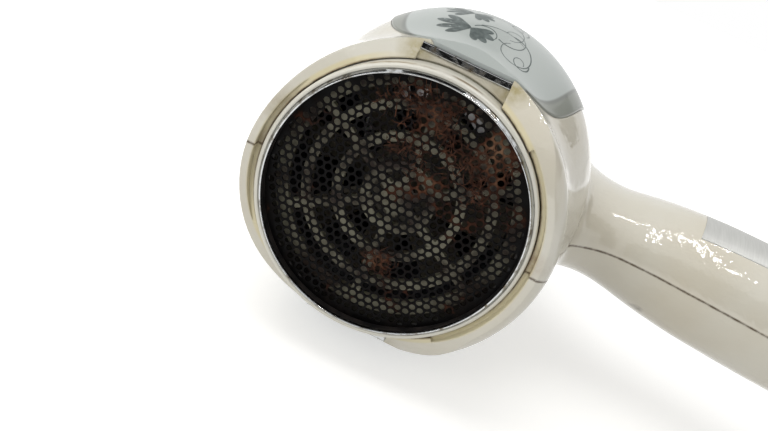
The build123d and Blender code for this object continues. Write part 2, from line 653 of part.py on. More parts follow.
clamp_top = clamp_seat + clamp_thickness
bar = block(clamp_x - 3.5, clamp_x + 3.5, clamp_y - clamp_reach - 3, clamp_y + clamp_reach + 3,
            clamp_seat, clamp_top)
clamp_screw_list = []
for side in (-1, 1):
    place = Pos(clamp_x, clamp_y + side * clamp_reach, 0)
    bar -= place * Cylinder(screw_radius + fit_gap, 60)
    head = Pos(0, 0, clamp_top + 0.8) * Cylinder(2.3, 1.6)
    shank = Pos(0, 0, (clamp_top - 5) / 2) * Cylinder(screw_radius, clamp_top + 5)
    clamp_screw_list.append(place * (head + shank))
add("cord_clamp", bar)
add("clamp_screws", Compound(clamp_screw_list))

# ---------------------------------------------------------------- write one STEP file per node
os.makedirs("parts", exist_ok=True)
for name, shape in NODES.items():
    export_step(shape, f"parts/{name}.step")
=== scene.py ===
import math
import random

import bmesh
import bpy
from mathutils import Euler, Matrix, Vector


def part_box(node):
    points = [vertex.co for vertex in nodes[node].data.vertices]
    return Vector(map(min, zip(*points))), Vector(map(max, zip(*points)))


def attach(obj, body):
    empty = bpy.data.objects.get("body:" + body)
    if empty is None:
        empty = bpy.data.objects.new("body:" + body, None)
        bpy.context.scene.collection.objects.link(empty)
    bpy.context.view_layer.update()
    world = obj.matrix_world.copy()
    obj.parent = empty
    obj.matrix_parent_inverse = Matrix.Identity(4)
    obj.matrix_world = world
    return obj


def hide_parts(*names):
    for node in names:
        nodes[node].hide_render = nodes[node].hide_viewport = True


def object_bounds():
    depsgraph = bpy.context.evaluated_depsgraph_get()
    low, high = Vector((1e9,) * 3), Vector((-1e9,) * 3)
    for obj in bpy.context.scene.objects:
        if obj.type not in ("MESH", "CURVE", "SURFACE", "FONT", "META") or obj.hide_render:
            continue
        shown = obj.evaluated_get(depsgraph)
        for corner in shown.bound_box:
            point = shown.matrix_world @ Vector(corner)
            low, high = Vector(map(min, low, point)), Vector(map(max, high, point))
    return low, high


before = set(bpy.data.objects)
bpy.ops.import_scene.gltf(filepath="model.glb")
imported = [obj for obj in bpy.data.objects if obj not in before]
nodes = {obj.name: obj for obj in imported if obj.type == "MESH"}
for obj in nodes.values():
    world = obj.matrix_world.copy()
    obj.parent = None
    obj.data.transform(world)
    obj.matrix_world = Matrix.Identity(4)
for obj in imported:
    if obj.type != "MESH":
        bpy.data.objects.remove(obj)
cad_low, cad_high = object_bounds()

# ------------------------------------------------------------------ housing halves and handle cap
# Two halves moulded in ivory ABS and screwed together on a parting line at z = 0. Years of use
# have yellowed the gutter round the filter and left brown dirt in the joints.
MM = 0.001
crest_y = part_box("housing_right")[0].y      # rearmost point of the collar
cover_radius = 36.3 * MM                    # outside of the filter cover
gutter_radius = 37.9 * MM                   # outer wall of the gutter round the cover


def colour(hex_value):
    """Linear RGBA of an sRGB hex value."""
    parts = [int(hex_value[i:i + 2], 16) / 255 for i in (0, 2, 4)]
    return [c / 12.92 if c <= 0.04045 else ((c + 0.055) / 1.055) ** 2.4 for c in parts] + [1.0]


def add_node(tree, kind, settings, links=()):
    """Adds a node, sets its attributes and sockets, and links (socket, source) pairs into it.

    A colour ramp takes its stops as (position, hex value) pairs, lowest first.
    """
    made = tree.nodes.new(kind)
    for name, value in settings.items():
        if name == "stops":
            ramp = made.color_ramp.elements
            for end, (position, shade) in ((ramp[0], value[0]), (ramp[1], value[-1])):
                end.position, end.color = position, colour(shade)
            for position, shade in value[1:-1]:
                ramp.new(position).color = colour(shade)
        elif isinstance(name, str) and name in made.bl_rna.properties:
            setattr(made, name, value)
        else:
            made.inputs[name].default_value = value
    for socket, source in links:
        tree.links.new(source, made.inputs[socket])
    return made


def new_finish(name, shader_settings):
    """A material with its shader and the object's own coordinates."""
    finish = bpy.data.materials.new(name)
    finish.use_nodes = True
    tree = finish.node_tree
    tree.nodes.clear()
    shader = add_node(tree, "ShaderNodeBsdfPrincipled", shader_settings)
    add_node(tree, "ShaderNodeOutputMaterial", {}, [("Surface", shader.outputs[0])])
    place = add_node(tree, "ShaderNodeTexCoord", {}).outputs["Object"]
    return finish, tree, shader, place


def round_the_barrel(tree, place):
    """The three coordinates apart, and the distance from the barrel's axis."""
    xyz = add_node(tree, "ShaderNodeSeparateXYZ", {}, [(0, place)])
    across = add_node(tree, "ShaderNodeCombineXYZ", {}, [("X", xyz.outputs["X"]), ("Y", xyz.outputs["Z"])])
    radius = add_node(tree, "ShaderNodeVectorMath", {"operation": "LENGTH"}, [(0, across.outputs[0])])
    return xyz.outputs, radius.outputs["Value"]


def dress(finish, *names):
    """Gives CAD nodes their finish."""
    for name in names:
        for slot in nodes[name].material_slots:
            slot.material = finish


# Injection-moulded ABS, gone slightly yellow: soft gloss with a faint orange peel. A noise scale is a metre
# over the size of its patches, here and below.
aged_abs, tree, shader, place = new_finish("injection_moulded_ivory_ABS", {
    "IOR": 1.53, "Specular IOR Level": 0.35, "Coat Weight": 1.0, "Coat Roughness": 0.03, "Coat IOR": 1.5})
xyz, radius = round_the_barrel(tree, place)
depth = add_node(tree, "ShaderNodeMath", {"operation": "SUBTRACT", 1: crest_y}, [(0, xyz["Y"])])
# broad change of tone, patches of about 40 mm
tone = add_node(tree, "ShaderNodeTexNoise", {"Scale": 25.0, "Detail": 3.0}, [("Vector", place)])
body_colour = add_node(tree, "ShaderNodeValToRGB", {"stops": [(0.35, "D9D6CA"), (0.7, "D0C9B7")]},
                       [("Fac", tone.outputs["Fac"])])
# grime breaks up in patches of about 2 mm
grime = add_node(tree, "ShaderNodeTexNoise", {"Scale": 420.0, "Detail": 4.0, "Roughness": 0.6},
                 [("Vector", place)])
patchy = add_node(tree, "ShaderNodeMapRange", {"From Min": 0.3, "From Max": 0.6, "To Min": 0.35},
                  [("Value", grime.outputs["Fac"])])
# yellowed gutter: inside the collar's crest and near its rear face
near_bore = add_node(tree, "ShaderNodeMapRange", {
    "From Min": gutter_radius + 0.5 * MM, "From Max": gutter_radius - 0.1 * MM, "To Max": 0.7},
    [("Value", radius)])
shallow = add_node(tree, "ShaderNodeMapRange", {"From Min": 8.5 * MM, "From Max": 6.0 * MM},
                   [("Value", depth.outputs[0])])
gutter = add_node(tree, "ShaderNodeMath", {"operation": "MULTIPLY"},
                  [(0, near_bore.outputs[0]), (1, shallow.outputs[0])])
yellowed = add_node(tree, "ShaderNodeMix", {"data_type": "RGBA", 7: colour("D8CC9E")},
                    [(0, gutter.outputs[0]), (6, body_colour.outputs["Color"])])
# dirt packed where the filter cover meets the collar
at_cover = add_node(tree, "ShaderNodeMapRange", {
    "From Min": cover_radius + 0.8 * MM, "From Max": cover_radius + 0.35 * MM}, [("Value", radius)])
packed = add_node(tree, "ShaderNodeMath", {"operation": "MULTIPLY"},
                  [(0, at_cover.outputs[0]), (1, shallow.outputs[0])])
packed_here = add_node(tree, "ShaderNodeMath", {"operation": "MULTIPLY"},
                       [(0, packed.outputs[0]), (1, patchy.outputs[0])])
dirty = add_node(tree, "ShaderNodeMix", {"data_type": "RGBA", 7: colour("5E4424")},
                 [(0, packed_here.outputs[0]), (6, yellowed.outputs[2])])
# brown line along the parting joint
side = add_node(tree, "ShaderNodeMath", {"operation": "ABSOLUTE"}, [(0, xyz["Z"])])
at_joint = add_node(tree, "ShaderNodeMapRange", {
    "From Min": 0.55 * MM, "From Max": 0.14 * MM, "To Max": 0.95}, [("Value", side.outputs[0])])
joint_here = add_node(tree, "ShaderNodeMath", {"operation": "MULTIPLY"},
                      [(0, at_joint.outputs[0]), (1, patchy.outputs[0])])
jointed = add_node(tree, "ShaderNodeMix", {"data_type": "RGBA", 7: colour("5E4A2A")},
                   [(0, joint_here.outputs[0]), (6, dirty.outputs[2])])
# stains by place (x, depth behind the crest, z) and reach in mm, strength and shade
notch_corners = [(x, 8, 38, 6, 0.8, "9A8B4C") for x in (-11, 13.8)]
notch_corners += [(x, 8, -38, 5, 0.5, "9A8B4C") for x in (-11, 13.8)]
collar_stains = [(-37.9, 3.5, 1, 4, 0.6, "8A7444"), (37.6, 3, 3.5, 5, 0.65, "8A6A3C"),
                 (-36, 3, 12, 6, 0.45, "8A7444")]
handle_scuffs = [(80.5, 52, -14, 2.6, 0.85, "6A6150"), (78.5, 53, -14.5, 1.6, 0.5, "7E7460")]
last = jointed.outputs[2]
for x, y, z, reach, strength, shade in notch_corners + collar_stains + handle_scuffs:
    there = Vector((x * MM, crest_y + y * MM, z * MM))
    away = add_node(tree, "ShaderNodeVectorMath", {"operation": "DISTANCE", 1: there}, [(0, place)])
    spot = add_node(tree, "ShaderNodeMapRange", {
        "From Min": reach * MM, "From Max": 0.2 * reach * MM, "To Max": strength},
        [("Value", away.outputs["Value"])])
    broken = add_node(tree, "ShaderNodeMath", {"operation": "MULTIPLY"},
                      [(0, spot.outputs[0]), (1, patchy.outputs[0])])
    stained = add_node(tree, "ShaderNodeMix", {"data_type": "RGBA", 7: colour(shade)},
                       [(0, broken.outputs[0]), (6, last)])
    last = stained.outputs[2]
tree.links.new(last, shader.inputs["Base Color"])
dulled = add_node(tree, "ShaderNodeMapRange", {
    "From Min": 0.3, "From Max": 0.75, "To Min": 0.45, "To Max": 0.6}, [("Value", tone.outputs["Fac"])])
tree.links.new(dulled.outputs[0], shader.inputs["Roughness"])
# orange peel, waves of about 2 mm, drawn stronger than life so that it shows in the gloss
peel = add_node(tree, "ShaderNodeTexNoise", {"Scale": 500.0, "Detail": 1.0, "Distortion": 0.5},
                [("Vector", place)])
edge = add_node(tree, "ShaderNodeBevel", {"samples": 6, "Radius": 0.6 * MM})
skin = add_node(tree, "ShaderNodeBump", {"Strength": 1.0, "Distance": 0.07 * MM},
                [("Height", peel.outputs["Fac"]), ("Normal", edge.outputs[0])])
tree.links.new(skin.outputs[0], shader.inputs["Normal"])
tree.links.new(skin.outputs[0], shader.inputs["Coat Normal"])
dress(aged_abs, "housing_left", "housing_right", "handle_cap")

# ------------------------------------------------------------------ housing screws and clamp screws
# Pan-head self-tapping screws, zinc plated, sunk in bores on the left half and inside the handle, where
# they draw the halves together and hold the lead's clamp.


def mottled_finish(name, shader_settings, pattern, stops, roughness=None, stretch=(1, 1, 1), edge=0.0):
    """A finish whose colour follows a noise pattern.

    A (low, high) pair of roughness follows it too, and an edge radius softens the corners.
    """
    finish, tree, shader, place = new_finish(name, shader_settings)
    drawn_out = add_node(tree, "ShaderNodeMapping", {"Scale": stretch}, [("Vector", place)])
    noise = add_node(tree, "ShaderNodeTexNoise", pattern, [("Vector", drawn_out.outputs[0])])
    tint = add_node(tree, "ShaderNodeValToRGB", {"stops": stops}, [("Fac", noise.outputs["Fac"])])
    tree.links.new(tint.outputs["Color"], shader.inputs["Base Color"])
    if roughness:
        rough = add_node(tree, "ShaderNodeMapRange", {"To Min": roughness[0], "To Max": roughness[1]},
                         [("Value", noise.outputs["Fac"])])
        tree.links.new(rough.outputs[0], shader.inputs["Roughness"])
    if edge:
        softened = add_node(tree, "ShaderNodeBevel", {"samples": 4, "Radius": edge})
        tree.links.new(softened.outputs[0], shader.inputs["Normal"])
    return finish


# Bright passivated zinc: pale grey metal with a faint blue cast and dull spots of about 1 mm.
zinc = mottled_finish(
    "bright_zinc_plated_steel", {"Metallic": 1.0}, {"Scale": 900.0, "Detail": 3.0},
    [(0.0, "8F9397"), (1.0, "C9CCD0")], roughness=(0.22, 0.45))
dress(zinc, "housing_screws", "clamp_screws")

# ------------------------------------------------------------------ side panels
# Oval inserts clipped into both flanks, moulded in pale grey-blue ABS under a clear gloss coat. A darker
# band runs just inside the outline at both ends, with a fine line inside it.
panel_centre = Vector((6.9 * MM, crest_y + 46.0 * MM, 0))
panel_lean = math.radians(10.5)
fullness = 2.5                              # 2 is an ellipse, more is squarer
line_half_width, line_half_length = 24.6 * MM, 40.5 * MM
# Painted ABS under clear lacquer: mirror-like coat over a milky grey.
lacquer, tree, shader, place = new_finish("grey_blue_lacquered_ABS", {
    "Roughness": 0.38, "IOR": 1.5, "Coat Weight": 0.35, "Coat Roughness": 0.04, "Coat IOR": 1.5})
turned = add_node(tree, "ShaderNodeMapping", {
    "vector_type": "TEXTURE", "Location": panel_centre, "Rotation": (0, 0, -panel_lean)},
    [("Vector", place)])
parts = add_node(tree, "ShaderNodeSeparateXYZ", {}, [(0, turned.outputs[0])])
powers = []
# the inner line is a narrower, longer oval, so that the band shows at the two ends and fades between them
for socket, half in (("X", line_half_width), ("Y", line_half_length)):
    share = add_node(tree, "ShaderNodeMath", {"operation": "DIVIDE", 1: half}, [(0, parts.outputs[socket])])
    size = add_node(tree, "ShaderNodeMath", {"operation": "ABSOLUTE"}, [(0, share.outputs[0])])
    raised = add_node(tree, "ShaderNodeMath", {"operation": "POWER", 1: fullness}, [(0, size.outputs[0])])
    powers.append(raised.outputs[0])
total = add_node(tree, "ShaderNodeMath", {"operation": "ADD"}, [(0, powers[0]), (1, powers[1])])
reach = add_node(tree, "ShaderNodeMath", {"operation": "POWER", 1: 1 / fullness}, [(0, total.outputs[0])])
# ramp positions are half of the reach, so that the line at reach 1 sits in the middle of the ramp
half_reach = add_node(tree, "ShaderNodeMath", {"operation": "MULTIPLY", 1: 0.5}, [(0, reach.outputs[0])])
band = add_node(tree, "ShaderNodeValToRGB", {"stops": [
    (0.0, "B0B5B1"), (0.488, "AEB4B0"), (0.495, "7A7D77"), (0.503, "7A7D77"), (0.51, "888B82"),
    (1.0, "8A8D84")]}, [("Fac", half_reach.outputs[0])])
tree.links.new(band.outputs["Color"], shader.inputs["Base Color"])
# slight waves of about 8 mm in the coat
wave = add_node(tree, "ShaderNodeTexNoise", {"Scale": 120.0, "Detail": 1.0}, [("Vector", place)])
edge = add_node(tree, "ShaderNodeBevel", {"samples": 6, "Radius": 0.5 * MM})
skin = add_node(tree, "ShaderNodeBump", {"Strength": 0.15, "Distance": 0.05 * MM},
                [("Height", wave.outputs["Fac"]), ("Normal", edge.outputs[0])])
tree.links.new(skin.outputs[0], shader.inputs["Normal"])
tree.links.new(skin.outputs[0], shader.inputs["Coat Normal"])
dress(lacquer, "side_panel_left", "side_panel_right")

# ------------------------------------------------------------------ printed flourish on the side panels
# Leaves and thin scrolls in dark grey ink, a plain pattern of our own, pad-printed on the panels over the
# lacquer.
outside = 80 * MM                           # beyond both flanks, from where the print is laid on
ink_film = 0.02 * MM
coarsest_edge = 1.2 * MM                    # longer ones are halved, so that the print follows the flank
# sprigs by x, depth behind the crest and size; their leaves by direction, length and width in mm
sprigs = ((-2.0, 24.0, 1.0), (-3.0, 33.5, 0.85))
leaves = ((2.55, 8.4, 2.6), (2.95, 9.2, 2.7), (3.4, 8.6, 2.6), (3.85, 7.2, 2.4),
          (-1.15, 5.6, 2.5), (-0.7, 6.6, 2.6), (-0.25, 6.8, 2.5), (0.2, 6.0, 2.3))
# scrolls by x, depth behind the crest, direction, curl, length and width in mm, and tightening
scrolls = ((-1.5, 25.5, 0.9, -2.8, 12.0, 0.4, 1.5), (0.0, 27.0, 0.5, -0.9, 13.0, 0.32, 0.5),
           (9.0, 28.5, 0.2, -4.6, 27.0, 0.42, 0.9), (5.5, 24.0, -0.6, 3.8, 19.0, 0.36, 1.2),
           (-1.0, 35.0, 0.6, -2.2, 22.0, 0.36, 1.8), (12.0, 33.0, 0.9, 5.2, 17.0, 0.38, 1.6),
           (15.5, 21.5, -1.2, -5.0, 13.0, 0.4, 1.2), (4.0, 41.0, 1.2, 4.8, 20.0, 0.4, 1.8))
# Pad-printing ink: flat dark grey with slightly uneven cover, in patches of about 1.5 mm.
ink = mottled_finish(
    "dark_grey_pad_printing_ink", {"Roughness": 0.35, "IOR": 1.5}, {"Scale": 700.0, "Detail": 2.0},
    [(0.35, "4C5553"), (0.75, "6E7775")])


def leaf(mesh, x, y, angle, length, width):
    """A pointed leaf in the panel's plane, base at (x, y)."""
    ring = bmesh.ops.create_circle(mesh, cap_ends=True, cap_tris=True, segments=20, radius=1.0)["verts"]
    for vert in ring:
        along, out = (vert.co.x + 1) / 2, vert.co.y
        vert.co.x = along * length
        vert.co.y = out * width / 2 * (0.35 + 0.75 * along) * (1 + 0.1 * math.cos(9 * along))
    laid = Matrix.Translation((x, y, 0)) @ Matrix.Rotation(angle, 4, "Z")
    bmesh.ops.transform(mesh, verts=ring, matrix=laid)


def scroll(mesh, x, y, start, curl, length, width, tighten):
    """A thin ribbon that leaves (x, y) at an angle and curls up, tapering to its end."""
    steps = 40
    angle, previous = start, None
    point = Vector((x, y, 0))
    for step in range(steps + 1):
        done = step / steps
        side = Vector((-math.sin(angle), math.cos(angle), 0)) * width / 2 * (1 - 0.55 * done)
        pair = [mesh.verts.new(point + side), mesh.verts.new(point - side)]
        if previous:
            bmesh.ops.contextual_create(mesh, geom=[previous[0], previous[1], pair[1], pair[0]])
        previous = pair
        angle += curl / steps * (1 + tighten * done * done)
        point = point + Vector((math.cos(angle), math.sin(angle), 0)) * length / steps


def make_piece(name, mesh, finish):
    """Turns a finished bmesh into an object of one finish."""
    data = bpy.data.meshes.new(name)
    mesh.to_mesh(data)
    mesh.free()
    data.materials.append(finish)
    piece = bpy.data.objects.new(name, data)
    bpy.context.scene.collection.objects.link(piece)
    return piece


for side, panel_name in ((1, "side_panel_right"), (-1, "side_panel_left")):
    mesh = bmesh.new()
    for base_x, base_y, size in sprigs:
        for direction, length, width in leaves:
            leaf(mesh, base_x * MM, base_y * MM, direction, length * size * MM, width * size * MM)
    for x, y, start, curl, length, width, tighten in scrolls:
        scroll(mesh, x * MM, y * MM, start, curl, length * MM, width * MM, tighten)
    bmesh.ops.triangulate(mesh, faces=mesh.faces)
    bmesh.ops.subdivide_edges(mesh, edges=[e for e in mesh.edges if e.calc_length() > coarsest_edge], cuts=1)
    for vert in mesh.verts:
        above = Vector((vert.co.x, vert.co.y + crest_y, side * outside))
        where, normal = nodes[panel_name].ray_cast(above, Vector((0, 0, -side)))[1:3]
        vert.co = where + normal * ink_film
    if side < 0:
        bmesh.ops.reverse_faces(mesh, faces=mesh.faces)
    flourish = make_piece(panel_name + "_flourish", mesh, ink)
    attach(flourish, "dryer")

# ------------------------------------------------------------------ chrome strips and filter bezel
# Straight strips behind the finger notches and the turned ring of the filter cover, all chrome-plated ABS.
# The ring rises to a bead along its inner edge and slopes down to the cover's lip.
# Bright chromium: cool grey mirror with dull pits and a brown film, in patches of about 3 mm, from handling.
chrome, tree, shader, place = new_finish("chrome_plated_ABS", {"Metallic": 1.0})
film = add_node(tree, "ShaderNodeTexNoise", {"Scale": 330.0, "Detail": 4.0, "Roughness": 0.65},
                [("Vector", place)])
tint = add_node(tree, "ShaderNodeValToRGB", {"stops": [(0.34, "6B6152"), (0.5, "C6C8C9")]},
                [("Fac", film.outputs["Fac"])])
tree.links.new(tint.outputs["Color"], shader.inputs["Base Color"])
rough = add_node(tree, "ShaderNodeMapRange", {
    "From Min": 0.3, "From Max": 0.55, "To Min": 0.3, "To Max": 0.06}, [("Value", film.outputs["Fac"])])
tree.links.new(rough.outputs[0], shader.inputs["Roughness"])
# faint ripple of about 4 mm from the moulding under the plating
ripple = add_node(tree, "ShaderNodeTexNoise", {"Scale": 260.0, "Detail": 2.0}, [("Vector", place)])
skin = add_node(tree, "ShaderNodeBump", {"Strength": 0.4, "Distance": 0.08 * MM},
                [("Height", ripple.outputs["Fac"])])
tree.links.new(skin.outputs[0], shader.inputs["Normal"])
dress(chrome, "side_trim_left", "side_trim_right")


def spun_ring(name, outline, finish, body, stands_for):
    """A closed ring turned about the barrel axis from (radius, depth behind the crest) points in mm."""
    mesh = bmesh.new()
    verts = [mesh.verts.new((r * MM, crest_y + d * MM, 0)) for r, d in outline]
    edges = [mesh.edges.new((verts[i], verts[(i + 1) % len(verts)])) for i in range(len(verts))]
    bmesh.ops.spin(mesh, geom=verts + edges, cent=(0, 0, 0), axis=(0, 1, 0), angle=2 * math.pi, steps=256,
                   use_merge=True)
    bmesh.ops.remove_doubles(mesh, verts=mesh.verts, dist=0.001 * MM)
    bmesh.ops.recalc_face_normals(mesh, faces=mesh.faces)
    for face in mesh.faces:
        face.smooth = True
    piece = make_piece(name, mesh, finish)
    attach(piece, body)
    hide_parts(stands_for)


bezel_outline = [(34.0, 1.2), (34.0, 0.25), (34.06, 0.09), (34.18, 0.01), (34.34, 0.03), (34.46, 0.14),
                 (34.62, 0.5), (34.82, 0.82), (35.0, 1.05), (35.08, 1.25), (35.1, 1.5), (35.1, 2.7),
                 (34.6, 2.7), (34.6, 1.2)]
spun_ring("bezel_ring", bezel_outline, chrome, "filter_cover", "chrome_bezel")

# ------------------------------------------------------------------ filter cover
# Shallow cap that holds the mesh and pulls off for cleaning, moulded in the same ivory ABS. Its lip is
# rounded over outside the chrome ring.
band_depth = 2.8 * MM                       # where the collar's gutter meets the wall
# Injection-moulded ABS, as the housing, with brown dirt worn in round its wall in patches of about 7 mm.
cap_abs, tree, shader, place = new_finish("handled_ivory_ABS", {"IOR": 1.53, "Roughness": 0.28})
xyz, radius = round_the_barrel(tree, place)
grime = add_node(tree, "ShaderNodeTexNoise", {"Scale": 140.0, "Detail": 4.0}, [("Vector", place)])
outer = add_node(tree, "ShaderNodeMapRange", {
    "From Min": cover_radius - 0.2 * MM, "From Max": cover_radius - 0.02 * MM, "To Max": 0.85},
    [("Value", radius)])
along = add_node(tree, "ShaderNodeMath", {"operation": "SUBTRACT", 1: crest_y + band_depth}, [(0, xyz["Y"])])
off_line = add_node(tree, "ShaderNodeMath", {"operation": "ABSOLUTE"}, [(0, along.outputs[0])])
in_band = add_node(tree, "ShaderNodeMapRange", {"From Min": 1.5 * MM, "From Max": 0.4 * MM},
                   [("Value", off_line.outputs[0])])
rim = add_node(tree, "ShaderNodeMath", {"operation": "MULTIPLY"},
               [(0, outer.outputs[0]), (1, in_band.outputs[0])])
patchy = add_node(tree, "ShaderNodeMapRange", {"From Min": 0.42, "From Max": 0.6, "To Min": 0.15},
                  [("Value", grime.outputs["Fac"])])
worn_in = add_node(tree, "ShaderNodeMath", {"operation": "MULTIPLY"},
                   [(0, rim.outputs[0]), (1, patchy.outputs[0])])
rimmed = add_node(tree, "ShaderNodeMix", {"data_type": "RGBA", 6: colour("DCD9CD"), 7: colour("7A6038")},
                  [(0, worn_in.outputs[0])])
tree.links.new(rimmed.outputs[2], shader.inputs["Base Color"])
cap_outline = [(35.12, 1.25), (35.2, 1.06), (35.4, 1.0), (35.75, 1.02), (36.05, 1.15), (36.22, 1.4),
               (36.3, 1.8), (36.3, 8.9), (36.2, 9.15), (35.9, 9.2), (34.6, 9.2), (34.6, 2.72), (35.12, 2.72)]
spun_ring("filter_cap", cap_outline, cap_abs, "filter_cover", "filter_cover")

# ------------------------------------------------------------------ black rings that clamp the mesh
# Moulded polypropylene rings in front of and behind the mesh. The switch bodies and the diodes inside share
# the finish.
# Black PP: low sheen, greyed by dust in patches of about 3 mm.
black_pp = mottled_finish(
    "moulded_black_polypropylene", {"IOR": 1.49}, {"Scale": 300.0, "Detail": 4.0},
    [(0.4, "0D0C0C"), (0.85, "322B27")], roughness=(0.35, 0.7))
dress(black_pp, "mesh_seat", "mesh_retainer", "power_switch", "cool_switch", "rectifier_diodes")

# ------------------------------------------------------------------ filter mesh
# Punched steel disc, 0.5 mm thick with 1.75 mm holes at 2.25 mm pitch, painted black. Lint and brown dust
# stick to it, thickest on one side.
mesh_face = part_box("filter_mesh")[0].y
dusty_side = Vector((10 * MM, crest_y + 3.4 * MM, 26 * MM))
low_patch = Vector((3 * MM, crest_y + 3.4 * MM, -15 * MM))
# Black stove enamel on steel under dust: dark satin, turning reddish brown and matt where dusty, in patches
# of about 9 mm.
mesh_paint, tree, shader, place = new_finish("black_enamelled_steel_with_dust",
                                             {"IOR": 1.5, "Specular IOR Level": 0.08})
dust = add_node(tree, "ShaderNodeTexNoise", {"Scale": 110.0, "Detail": 6.0, "Roughness": 0.65},
                [("Vector", place)])
level = dust.outputs["Fac"]
for patch, ramp in ((dusty_side, {"From Min": 32 * MM, "From Max": 8 * MM, "To Min": -0.06, "To Max": 0.12}),
                    (low_patch, {"From Min": 6 * MM, "From Max": 1.5 * MM, "To Max": 0.15})):
    away = add_node(tree, "ShaderNodeVectorMath", {"operation": "DISTANCE", 1: patch}, [(0, place)])
    thicker = add_node(tree, "ShaderNodeMapRange", ramp, [("Value", away.outputs["Value"])])
    summed = add_node(tree, "ShaderNodeMath", {"operation": "ADD"}, [(0, level), (1, thicker.outputs[0])])
    level = summed.outputs[0]
covered = add_node(tree, "ShaderNodeValToRGB", {
    "stops": [(0.46, "060505"), (0.57, "0F0B09"), (0.66, "402519"), (0.82, "7A5C47")]}, [("Fac", level)])
tree.links.new(covered.outputs["Color"], shader.inputs["Base Color"])
rough = add_node(tree, "ShaderNodeMapRange", {
    "From Min": 0.4, "From Max": 0.7, "To Min": 0.3, "To Max": 0.85}, [("Value", level)])
tree.links.new(rough.outputs[0], shader.inputs["Roughness"])
edge = add_node(tree, "ShaderNodeBevel", {"samples": 4, "Radius": 0.12 * MM})
skin = add_node(tree, "ShaderNodeBump", {"Strength": 0.5, "Distance": 0.1 * MM},
                [("Height", dust.outputs["Fac"]), ("Normal", edge.outputs[0])])
tree.links.new(skin.outputs[0], shader.inputs["Normal"])
dress(mesh_paint, "filter_mesh")

# ------------------------------------------------------------------ lint on the mesh
# Short hairs and rolled fluff caught on the mesh, mostly on the dusty side. Each hair is a three-sided
# tube that bends as it goes.
clear_rim = 32.0                            # mm from the axis, beyond which the mesh is kept clear
hairs_in_clump, hair_steps = 16, 5
# Textile lint: matt, reddish brown, a little lighter at its loose ends.
lint_fibre = mottled_finish(
    "reddish_brown_lint", {"Roughness": 1.0, "Specular IOR Level": 0.1, "Sheen Weight": 0.25},
    {"Scale": 500.0, "Detail": 2.0}, [(0.35, "22140F"), (0.7, "63402F")])
random.seed(4)
clumps = [(random.gauss(-4, 4), random.gauss(14, 4)) for n in range(4)]
clumps += [(random.gauss(3, 2), random.gauss(-15, 2.5)) for n in range(3)]
for n in range(26):
    angle, out = math.radians(random.uniform(25, 120)), random.gauss(26, 4)
    clumps.append((out * math.cos(angle), out * math.sin(angle)))
mesh = bmesh.new()
for clump_x, clump_z in clumps:
    for n in range(hairs_in_clump):
        x, z = clump_x + random.gauss(0, 1.6), clump_z + random.gauss(0, 1.4)
        if math.hypot(x, z) > clear_rim:
            continue
        heading, bend = random.uniform(0, 2 * math.pi), random.uniform(-3.0, 3.0)
        length, hair_radius = random.uniform(1.0, 4.2) * MM, random.uniform(0.05, 0.13) * MM
        point = Vector((x * MM, mesh_face - random.uniform(0.02, 0.3) * MM, z * MM))
        lift = random.uniform(-0.25, 0.08)
        ring = bmesh.ops.create_circle(mesh, segments=3, radius=hair_radius)["verts"]
        facing = Matrix.Translation(point) @ Matrix.Rotation(math.pi / 2 - heading, 4, "Y")
        bmesh.ops.transform(mesh, verts=ring, matrix=facing)
        edges = list({e for v in ring for e in v.link_edges})
        for step in range(hair_steps):
            made = bmesh.ops.extrude_edge_only(mesh, edges=edges)["geom"]
            new_verts = [g for g in made if isinstance(g, bmesh.types.BMVert)]
            edges = [g for g in made if isinstance(g, bmesh.types.BMEdge)
                     and all(v in new_verts for v in g.verts)]
            heading += bend / hair_steps
            move = Vector((math.cos(heading), lift, math.sin(heading))) * length / hair_steps
            bmesh.ops.translate(mesh, verts=new_verts, vec=move)
bmesh.ops.recalc_face_normals(mesh, faces=mesh.faces)
lint = make_piece("filter_lint", mesh, lint_fibre)
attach(lint, "filter_cover")

# ------------------------------------------------------------------ intake guard
# Web of rings and spokes that keeps fingers off the fan, moulded with the inner frame and seen through the
# holes of the mesh.
# Grey-beige ABS filmed with dust: matt, darker and browner in patches of about 11 mm.
guard_abs = mottled_finish(
    "dusty_grey_beige_ABS", {"IOR": 1.53, "Roughness": 0.6},
    {"Scale": 90.0, "Detail": 5.0, "Roughness": 0.6}, [(0.4, "40332A"), (0.6, "A8A48E")])
dress(guard_abs, "intake_guard")

# ------------------------------------------------------------------ fan and its duct
# Eight-blade axial fan pressed on the motor shaft, inside a duct with stator vanes and a cup for the motor.
# The outlet's ring and grille, the lead's clamp and the slider are moulded in the duct's dark grey.
# Natural glass-filled nylon: creamy and satin, dirty in patches of about 6 mm.
nylon = mottled_finish(
    "natural_glass_filled_nylon", {"IOR": 1.53, "Roughness": 0.45}, {"Scale": 160.0, "Detail": 4.0},
    [(0.0, "3E362D"), (1.0, "7F7868")])
dress(nylon, "fan_impeller")
# Dark phenolic moulding: charcoal with a satin skin and flow marks of about 7 mm.
charcoal = mottled_finish(
    "charcoal_phenolic_moulding", {"IOR": 1.55}, {"Scale": 140.0, "Detail": 4.0, "Distortion": 0.6},
    [(0.0, "222325"), (1.0, "43444A")], roughness=(0.3, 0.55), edge=0.4 * MM)
dress(charcoal, "fan_duct", "outlet_ring", "outlet_grille", "motor_end_cap", "cord_clamp", "power_slider")

